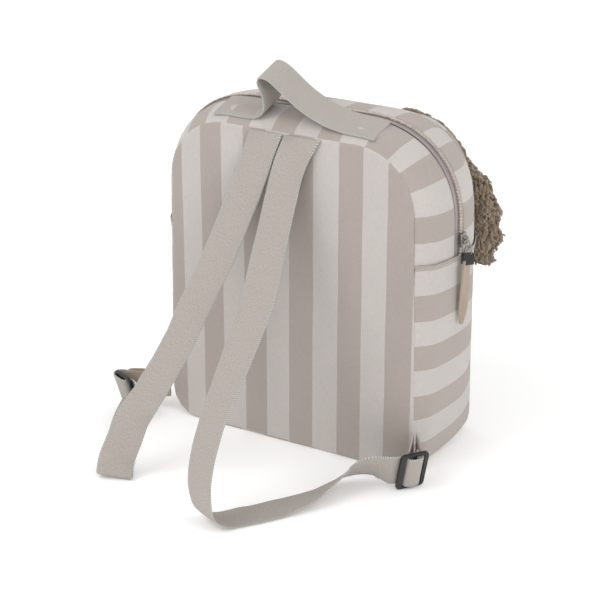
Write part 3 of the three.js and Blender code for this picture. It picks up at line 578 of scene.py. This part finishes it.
top_places = spaced(HEM - TUCK, 2 * TOP_MIDDLE - HEM + TUCK, STEP)
UPPER_ENDS = (HEM + 0.3 * MM, 2 * TOP_MIDDLE - HEM - 0.3 * MM)
for word in ("back", "front"):
    node = "gusset_upper_" + word
    low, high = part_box(node)
    mesh, _, _ = band("upper_band_" + word, node, top_places, spaced(low[1], high[1], STEP), UPPER_STRIPES,
                      UPPER_ENDS)
    dress("upper_band_" + word, mesh, "striped_cloth", [node])

hem_rows = []
for word, mirror, replaced in (("right", 1, ["gusset_lower"]), ("left", -1, [])):
    mesh, cloth, places = band("lower_band_" + word, "gusset_lower", spaced(HEM, BASE_MIDDLE, STEP),
                               spaced(-SEAM, SEAM, STEP), LOWER_STRIPES, (BASE_MIDDLE, HEM), mirror, hem=True)
    dress("lower_band_" + word, mesh, "striped_cloth", replaced)
    out = normals_of(cloth)
    row = int(np.argmin(np.abs(places - (HEM - STITCH_ROW))))
    hem_rows.append((cloth[row, 1:-1] + out[row, 1:-1] * STITCH_RISE, out[row, 1:-1]))


def panel(name, node, facing):
    """The back or front panel, in rings from its seam to its middle, with its edge rolled in to the seam."""
    tree = tree_of(node)
    half = spaced(BASE_MIDDLE, TOP_MIDDLE, STEP)
    loop = list(half) + [2 * TOP_MIDDLE - s for s in half[-2:0:-1]]
    middle = Vector((0, 0, HEIGHT / 2))
    grid = []
    for inset in PANEL_INSETS:
        ring = []
        for s in loop:
            x, z, dx, dz = outline(s)
            border = min(inset, PANEL_BORDER) * MM
            share = max(inset - PANEL_BORDER, 0) / PANEL_REACH
            p = Vector((x - border * dx, 0, z - border * dz)).lerp(middle, share)
            hit = tree.ray_cast(Vector((p.x, facing * PROBE_FROM, p.z)), Vector((0, -facing, 0)))[0]
            y = hit.y if hit else facing * (abs(BACK[0][1]) - PANEL_PLY)
            roll = max(1 - inset / PANEL_ROLL, 0)
            y -= facing * PANEL_ROLL_DEPTH * (1 - math.sqrt(max(1 - roll ** 2, 0)))
            y += facing * crease(p.x, p.z, PANEL_CREASE) * min(inset / PANEL_CREASE_MARGIN, 1)
            ring.append((p.x, y, p.z))
        grid.append(ring)
    grid = np.array(grid)
    inner = grid[-1].mean(axis=0)
    shrink = [1 - RIM_SHRINK, 1, 1 - RIM_SHRINK]
    turned = grid[:1] * shrink + [0, -facing * RIM_DEPTH, RIM_SHRINK * HEIGHT / 2]
    grid = np.concatenate([turned, grid])
    points = np.concatenate([grid.reshape(-1, 3), inner[None]])
    columns = len(loop)
    faces = grid_faces(len(grid), columns, around=True)
    last = (len(grid) - 1) * columns
    faces += [(last + k, last + (k + 1) % columns, len(points) - 1) for k in range(columns)]
    if facing > 0:
        faces = [f[::-1] for f in faces]
    index = np.interp(points[:, 0], PANEL_STRIPES, np.arange(len(PANEL_STRIPES)))
    mesh = mesh_from(name, points, faces, {
        "weave": points[:, [0, 2]] / MM,
        "stripes": np.stack([index, points[:, 2] / MM], 1),
    })
    dress(name, mesh, "striped_cloth", [node])


panel("back_cloth", "back_panel", -1)
panel("front_cloth", "front_panel", 1)


# The zip

def zip_tape_cloth():
    """The zip's tape, dropped onto its solid. It gives the line along the tape's middle."""
    low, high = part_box("zip_tape")
    tree = tree_of("zip_tape")
    ys = spaced(low[1], high[1], TAPE_STEP)
    rows = [[on_band(tree, s, y, ys[0], ys[-1], UPPER_ENDS) for y in ys] for s in top_places]
    grid = smoothed(np.array(rows))
    uv_s, uv_y = np.meshgrid(top_places / MM, (ys - (low[1] + high[1]) / 2) / MM, indexing="ij")
    mesh = mesh_from("zip_tape_cloth", grid.reshape(-1, 3), grid_faces(*grid.shape[:2]),
                     {"weave": np.stack([uv_s.ravel(), uv_y.ravel()], 1)})
    dress("zip_tape_cloth", mesh, "zip_tape", ["zip_tape"])
    return grid[:, len(ys) // 2]


def zip_teeth(middle):
    """The zip's closed coil: two rows of rounded teeth that mesh in the middle."""
    points, faces = [], []
    rings = ((-1, 0.5, 0), (-0.75, 1, 0), (0.75, 1, 0), (1, 0.5, 0))
    aside = np.array([0, 1.0, 0])
    for k, (p, way) in enumerate(zip(*line_through(middle, TOOTH_STEP))):
        out = np.cross(way, aside)
        out = out if out @ (p - [0, p[1], HEIGHT / 2]) > 0 else -out
        centre = p + out * TOOTH_RISE + aside * (TOOTH_ASIDE if k % 2 else -TOOTH_ASIDE)
        add_bar(points, faces, centre, aside * TOOTH[1], way * TOOTH[0], out * TOOTH[2], rings)
    dress("zip_teeth", mesh_from("zip_teeth", points, faces), "zip_coil", ["zip_coil"])


zip_teeth(zip_tape_cloth())


# Webbing

def welded(node):
    """A CAD node's mesh with its split corners joined again."""
    bm = bmesh.new()
    bm.from_mesh(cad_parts[node].data)
    bmesh.ops.remove_doubles(bm, verts=bm.verts, dist=WELD)
    bm.verts.ensure_lookup_table()
    return bm


def ribbon_edges(node, start):
    """The two edges of a CAD ribbon in matching rows, through the middle of its ply. They run from its end
    nearest start. A point and its mate on the ribbon's other face stand one ply apart. The rim runs along the
    edges between the faces and the side walls, whose triangles touch only two such pairs."""
    bm = welded(node)
    points = np.array([tuple(v.co) for v in bm.verts])
    apart = np.linalg.norm(points[:, None] - points[None], axis=2)
    mate = np.argmin(np.abs(apart - PLY), axis=1)
    own = np.minimum(np.arange(len(points)), mate)
    rim = {}
    for e in bm.edges:
        wall = [len({own[v.index] for v in f.verts}) < 3 for f in e.link_faces]
        a, b = (own[v.index] for v in e.verts)
        if wall[0] != wall[1] and a != b:
            rim.setdefault(a, set()).add(b)
            rim.setdefault(b, set()).add(a)
    bm.free()
    loop = [min(rim)]
    while onward := sorted(rim[loop[-1]] - set(loop)):
        loop.append(onward[0])
    # A grid of rows by wide points has rows x wide pairs, of which 2 x (rows + wide - 2) are on the rim
    half = len(loop) / 2 + 2
    wide = round((half - math.sqrt(half * half - 4 * len(set(own)))) / 2)
    rows = len(set(own)) // wide
    loop = np.array([(points[k] + points[mate[k]]) / 2 for k in loop])

    def split(turn):
        around = np.roll(loop, -turn, axis=0)
        return around[:rows], around[rows + wide - 2:2 * rows + wide - 2][::-1]

    splits = (split(k) for k in range(len(loop)))
    left, right = min(splits, key=lambda pair: np.linalg.norm(pair[0] - pair[1]))
    if np.linalg.norm(left[0] - start) > np.linalg.norm(left[-1] - start):
        left, right = left[::-1], right[::-1]
    return left, right


def splined(at, knots, values):
    """A smooth line through uneven rows of values, at places that are measured as their knots are."""
    slopes = np.gradient(values, knots, axis=0)
    k = np.clip(np.searchsorted(knots, at) - 1, 0, len(knots) - 2)
    span = (knots[k + 1] - knots[k])[:, None]
    f = ((at - knots[k]) / span[:, 0])[:, None]
    return ((2 * f ** 3 - 3 * f ** 2 + 1) * values[k] + (f ** 3 - 2 * f ** 2 + f) * span * slopes[k]
            + (3 * f ** 2 - 2 * f ** 3) * values[k + 1] + (f ** 3 - f ** 2) * span * slopes[k + 1])


def eased(line, times):
    """Rounds off the corners of a line of points, with its ends kept."""
    line = line.copy()
    for _ in range(times):
        line[1:-1] = line[1:-1] / 2 + (line[:-2] + line[2:]) / 4
    return line


# Half of the webbing's section, as shares of its half width and of its ply
SECTION = [(-1.0, 0.0), (-0.985, 0.32), (-0.95, 0.46), (-0.6, 0.5), (-0.2, 0.5), (0.2, 0.5), (0.6, 0.5),
           (0.95, 0.46), (0.985, 0.32), (1.0, 0.0)]


def ribbon(name, left, right, ply, floor=None):
    """A ribbon between two edges given in rows, with a soft flat section and slightly uneven edges.
    Its points don't sink below the floor, if it has one."""
    knots = lengths_along((left + right) / 2)
    travelled = spaced(0, knots[-1], WEBBING_STEP)
    left, right = (eased(splined(travelled, knots, side), 2) for side in (left, right))
    middle = (left + right) / 2
    across = right - left
    width = np.linalg.norm(across, axis=1, keepdims=True)
    across = across / width
    out = np.cross(np.gradient(middle, axis=0), across)
    out = out / np.linalg.norm(out, axis=1, keepdims=True)
    section = SECTION + [(a, -b) for a, b in SECTION[-2:0:-1]]
    points, weave_uv = [], []
    for i, m in enumerate(middle):
        ripple = RIPPLE * noise.noise(Vector((travelled[i] * 70, 1.7, 0.3)))
        for a, b in section:
            lift = WAVINESS * noise.noise(Vector((travelled[i] * 40, a * 1.3, 5.0)))
            p = m + across[i] * a * (width[i] / 2 + ripple) + out[i] * (b * ply + lift)
            if floor is not None:
                p[2] = max(p[2], floor)
            points.append(p)
            weave_uv.append((travelled[i] / MM, a * width[i][0] / 2 / MM))
    size = len(section)
    faces = grid_faces(len(middle), size, around=True)
    faces += [tuple(range(size))[::-1], tuple(len(points) - size + k for k in range(size))]
    return mesh_from(name, points, faces, {"weave": weave_uv})


# Each ribbon with a place near the end that it is measured from
for node, start in (("strap_left", (-0.021, -0.058, 0.299)), ("strap_right", (0.016, -0.058, 0.299)),
                    ("handle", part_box("handle")[0])):
    mesh = ribbon(node + "_webbing", *ribbon_edges(node, start), PLY, floor=FLOOR_GAP)
    dress(node + "_webbing", mesh, "webbing", [node])


# Stitching

def stitches(name, rows):
    """Rows of stitches: each row is a line of points with the way out of the cloth at each."""
    points, faces = [], []
    rings = ((-1, 0.3, -0.5), (-0.6, 1, 0.5), (0.6, 1, 0.5), (1, 0.3, -0.5))
    for line, out in rows:
        places, ways = line_through(line, STITCH_STEP)
        at, given = np.linspace(0, 1, len(places)), np.linspace(0, 1, len(out))
        outs = np.stack([np.interp(at, given, out[:, k]) for k in range(3)], 1)
        for p, way, n in zip(places, ways, outs):
            n = n / np.linalg.norm(n)
            side = np.cross(way, n)
            add_bar(points, faces, p, way * STITCH[0], side * STITCH[1], n * STITCH[1], rings)
    dress(name, mesh_from(name, points, faces), "thread")


stitches("hem_stitches", hem_rows)


# Hard trim and small cloth pieces

def refined(name, node, look, edge=None, rounds=0):
    """A CAD node's shape with its edges softened, or rounded off by subdivision."""
    bm = welded(node)
    bmesh.ops.dissolve_limit(bm, angle_limit=math.radians(1), verts=bm.verts, edges=bm.edges)
    if rounds:
        bmesh.ops.triangulate(bm, faces=[f for f in bm.faces if len(f.verts) > 4])
        bmesh.ops.join_triangles(bm, faces=bm.faces, angle_face_threshold=0.7, angle_shape_threshold=0.9)
    mesh = bpy.data.meshes.new(name)
    bm.to_mesh(mesh)
    bm.free()
    piece = dress(name, mesh, look, [node])
    if edge:
        bevel = piece.modifiers.new("edges", "BEVEL")
        bevel.width = edge
        bevel.segments = 3
        bevel.limit_method = "ANGLE"
        bevel.angle_limit = BEVEL_ANGLE
        bevel.harden_normals = True
    if rounds:
        surface = piece.modifiers.new("rounds", "SUBSURF")
        surface.levels = rounds
        surface.render_levels = rounds


for word in ("left", "right"):
    refined(f"adjuster_{word}_frame", f"adjuster_{word}", "black_plastic", edge=0.7 * MM)
refined("clamp_block", "pull_clamp", "black_plastic", edge=0.5 * MM)
refined("runner_body", "zip_runner", "runner_metal", edge=0.35 * MM)
refined("ring_wire", "pull_ring", "runner_metal", rounds=2)
refined("link_wire", "pull_link", "runner_metal", rounds=2)
refined("wing_left_cloth", "corner_wing_left", "tan_cloth", rounds=2)
refined("wing_right_cloth", "corner_wing_right", "wing_cloth", rounds=2)


def tab_ply(away):
    """One ply of the zip's cloth tab. It twists and tapers downwards, and stands away from the other."""
    low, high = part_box("pull_tab")
    middle = np.array([(low[0] + high[0]) / 2, (low[1] + high[1]) / 2, 0])
    left, right = [], []
    for f in np.linspace(0, 1, 12):
        turn = TAB_TURN * f ** 1.2 + away * TAB_OPENING * f
        edge = np.array([math.sin(turn), math.cos(turn), 0.12 * f])
        half = (high[1] - low[1]) / 2 * (0.82 - 0.24 * f - 0.4 * max(f - 0.75, 0) / 0.25)
        lean = away * TAB_APART - TAB_INWARD[0] - TAB_INWARD[1] * f
        centre = middle + np.array([lean, -TAB_BACKWARD * f ** 2, high[2] + (low[2] - high[2]) * f])
        left.append(centre - edge * half)
        right.append(centre + edge * half)
    return ribbon("tab", np.array(left), np.array(right), TAB_PLY)


dress("tab_outer", tab_ply(1), "tan_cloth", ["pull_tab"])
dress("tab_inner", tab_ply(-1), "tan_cloth")


# Ears

def ear_core(name, node):
    """The stuffed backing under the fleece: the solid's own form, remeshed, eased and drawn in."""
    core = dress(name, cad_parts[node].data.copy(), "fleece", [node])
    for kind, settings in (("REMESH", {"mode": "VOXEL", "voxel_size": VOXEL}),
                           ("SMOOTH", {"factor": 0.5, "iterations": EASE_ROUNDS}),
                           ("DISPLACE", {"strength": -CORE_INSET, "mid_level": 0.0})):
        modifier = core.modifiers.new(kind.lower(), kind)
        for key, value in settings.items():
            setattr(modifier, key, value)
        with bpy.context.temp_override(object=core, active_object=core):
            bpy.ops.object.modifier_apply(modifier=modifier.name)
    # One place on the fleece's ramps for the whole backing: a dark, even tone near the locks' roots, painted
    # shade for the backing deep under the locks
    core.data.uv_layers.new(name="weave").data.foreach_set("uv", [0.3, 0.12] * len(core.data.loops))
    return core


def swell(core):
    """Stuffing: the backing is blown out as cloth, and no point moves further than the cap."""
    rest = np.array([tuple(v.co) for v in core.data.vertices])
    cloth = core.modifiers.new("cloth", "CLOTH")
    cloth.settings.use_pressure = True
    cloth.settings.uniform_pressure_force = STUFFING_PRESSURE
    cloth.settings.effector_weights.gravity = 0
    cloth.settings.quality = 5
    scene = bpy.context.scene
    for step in range(1, STUFFING_FRAMES + 1):
        scene.frame_set(step)
    evaluated = core.evaluated_get(bpy.context.evaluated_depsgraph_get())
    shift = np.array([tuple(v.co) for v in evaluated.data.vertices]) - rest
    core.modifiers.remove(cloth)
    scene.frame_set(1)
    far = np.linalg.norm(shift, axis=1, keepdims=True)
    shift *= np.minimum(1, STUFFING_CAP / np.maximum(far, 1e-9))
    core.data.vertices.foreach_set("co", (rest + shift).ravel())
    core.data.update()


def spread(core, spacing):
    """Places over a surface, at least the spacing apart, each with the way out of it."""
    mesh = core.data
    mesh.calc_loop_triangles()
    triangles = [[mesh.vertices[i].co for i in t.vertices] for t in mesh.loop_triangles]
    areas = [((b - a).cross(c - a)).length / 2 for a, b, c in triangles]
    tries = int(14 * sum(areas) / spacing ** 2)
    nearby = list(itertools.product((-1, 0, 1), repeat=3))
    chance = random.Random(11)
    taken, places = {}, []
    for a, b, c in chance.choices(triangles, weights=areas, k=tries):
        u, v = chance.random(), chance.random()
        if u + v > 1:
            u, v = 1 - u, 1 - v
        p = a + (b - a) * u + (c - a) * v
        cell = [int(math.floor(x / spacing)) for x in p]
        around = [q for shift in nearby for q in taken.get(tuple(map(sum, zip(cell, shift))), ())]
        if all((p - q).length > spacing for q in around):
            taken.setdefault(tuple(cell), []).append(p)
            places.append((p, (b - a).cross(c - a).normalized()))
    return places


def seam_places(side):
    """Places for fleece along the bag's front seam, where an ear is sewn in."""
    tree = tree_of("gusset_upper_front")
    places = []
    for s in spaced(*EAR_SEAMS[side], SEAM_LOCK_SPACING):
        dx, dz = outline(s)[2:]
        point = Vector(on_band(tree, s, SEAM - 1.0 * MM, -SEAM, SEAM, (HEM, 2 * TOP_MIDDLE - HEM), side))
        out = Vector((side * dx, 0.5, dz)).normalized()
        places.append((point + Vector((0, SEAM_LOCK_OFFSET, 0)), out))
    return places


def locks(name, places, side):
    """Curly locks of fleece that leave the backing, bend down and out, and wave towards their tips."""
    chance = random.Random(5)
    points, faces, uv = [], [], []
    for place, out in places:
        length = chance.uniform(*LOCK_LENGTH)
        sway = side * 0.45 + chance.uniform(-0.35, 0.35)
        fall = Vector((sway, chance.uniform(-0.2, 0.2), -1.0)).normalized()
        fall = (fall - out * fall.dot(out)).normalized()
        aside = out.cross(fall)
        wave = chance.uniform(0.7, 1.3) * LOCK_WAVE
        turn = chance.uniform(0, 2 * math.pi)
        own = chance.random()
        start = len(points)
        for f in (i / (LOCK_STEPS - 1) for i in range(LOCK_STEPS)):
            lift = 0.42 * math.sin(f * math.pi * 0.6) + 0.05 * math.sin(turn * 2 + f * 9)
            p = (place - out * LOCK_ROOT + out * length * lift * 0.75 + fall * length * 0.8 * f ** 1.15
                 + aside * wave * math.sin(turn + f * 9.5) * f ** 0.5)
            body = 0.85 + 0.35 * math.sin(math.pi * min(f * 1.4, 1))
            girth = LOCK_GIRTH * body * (1 - f ** 4) + LOCK_TIP
            ahead = (fall * (0.35 + f) + out * (0.9 - f)).normalized()
            up = aside.cross(ahead)
            for k in range(LOCK_SIDES):
                a = 2 * math.pi * k / LOCK_SIDES
                points.append(p + aside * math.cos(a) * girth + up * math.sin(a) * girth * 0.7)
                uv.append((own, f))
        faces += grid_faces(LOCK_STEPS, LOCK_SIDES, around=True, start=start)
        faces.append(tuple(range(len(points) - LOCK_SIDES, len(points))))
    dress(name, mesh_from(name, points, faces, {"weave": uv}), "fleece")


for side, word in ((-1, "left"), (1, "right")):
    core = ear_core(f"ear_{word}_backing", f"ear_{word}")
    swell(core)
    locks(f"ear_{word}_fleece", spread(core, LOCK_SPACING) + seam_places(side), side)


# The stage

def aimed(thing, name, place, target):
    """A lamp or camera in the scene, turned towards its target."""
    rig = bpy.data.objects.new(name, thing)
    rig.location = place
    rig.rotation_euler = (Vector(target) - Vector(place)).to_track_quat("-Z", "Y").to_euler()
    bpy.context.scene.collection.objects.link(rig)
    return rig


def studio():
    """A pale floor, an even white surround with two soft lamps, and the photograph's camera."""
    corners = [(-FLOOR_HALF, -FLOOR_HALF, 0), (FLOOR_HALF, -FLOOR_HALF, 0), (FLOOR_HALF, FLOOR_HALF, 0),
               (-FLOOR_HALF, FLOOR_HALF, 0)]
    floor_mesh = mesh_from("floor", corners, [(0, 1, 2, 3)])
    floor_mesh.materials.append(Look("floor", FLOOR, roughness=0.9, emission_strength=0.1).material)
    floor = bpy.data.objects.new("floor", floor_mesh)
    bpy.context.scene.collection.objects.link(floor)

    world = bpy.data.worlds.new("studio")
    world.use_nodes = True
    background = world.node_tree.nodes["Background"]
    background.inputs["Color"].default_value = (1, 1, 1, 1)
    background.inputs["Strength"].default_value = WORLD_STRENGTH
    bpy.context.scene.world = world

    for name, place, size, power in LAMPS:
        light = bpy.data.lights.new(name, "AREA")
        light.size = size
        light.energy = power
        aimed(light, name, place, LAMP_TARGET)

    lens = bpy.data.cameras.new("camera")
    lens.sensor_width = CAMERA_SENSOR
    lens.lens = CAMERA_LENS
    bpy.context.scene.camera = aimed(lens, "camera", CAMERA_AT, CAMERA_TARGET)
    bpy.context.scene.view_settings.view_transform = "Standard"


studio()
